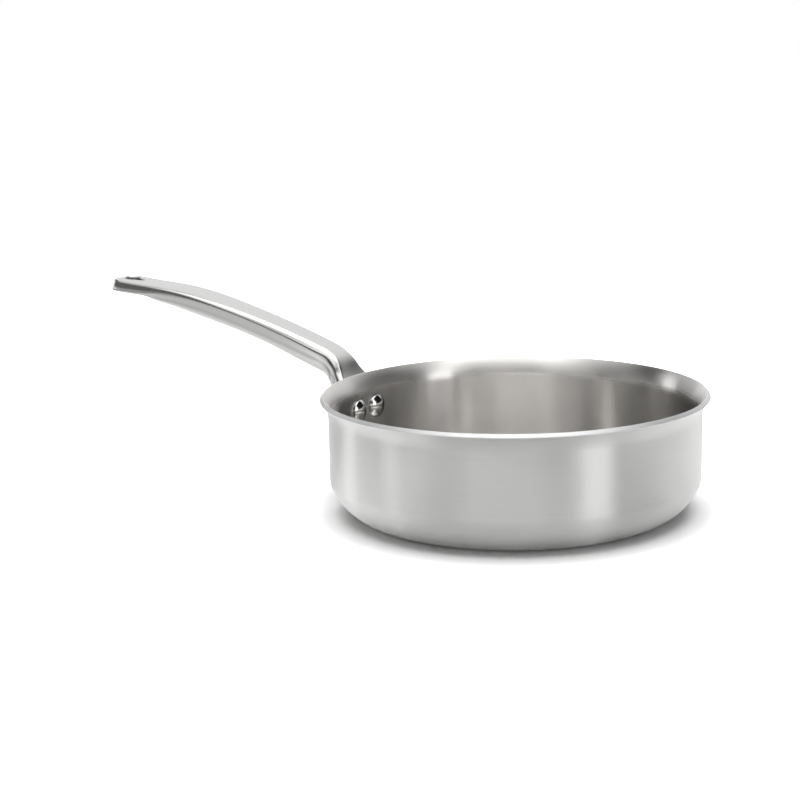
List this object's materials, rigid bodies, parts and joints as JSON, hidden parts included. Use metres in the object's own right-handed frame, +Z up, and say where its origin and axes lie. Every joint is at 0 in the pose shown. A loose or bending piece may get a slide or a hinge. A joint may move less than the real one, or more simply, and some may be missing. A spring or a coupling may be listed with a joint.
{
  "type": "saute pan",
  "caption": "Round stainless saute pan with straight walls, a flared pouring lip and a long riveted handle with a hanging hole.",
  "frame": {"origin": "centre of the flat base, at the height of the hob", "axes": "+X points away from the handle, along its length; +Z is up; the handle lies along -X"},
  "size_m": [0.4636, 0.2504, 0.1312],
  "materials": {
    "brushed_steel": "brushed round the wall",
    "aluminium_core": "bare, seen only at the lip's cut edge",
    "cooking_steel": "fine brushed round the wall",
    "cast_steel": "satin top face, polished sides",
    "polished_steel": "polished"
  },
  "bodies": {
    "root": {"outer_ply": "brushed_steel", "core_ply": "aluminium_core", "inner_ply": "cooking_steel", "handle": "cast_steel", "rivet_left": "polished_steel", "rivet_right": "polished_steel"}
  },
  "joints": []
}
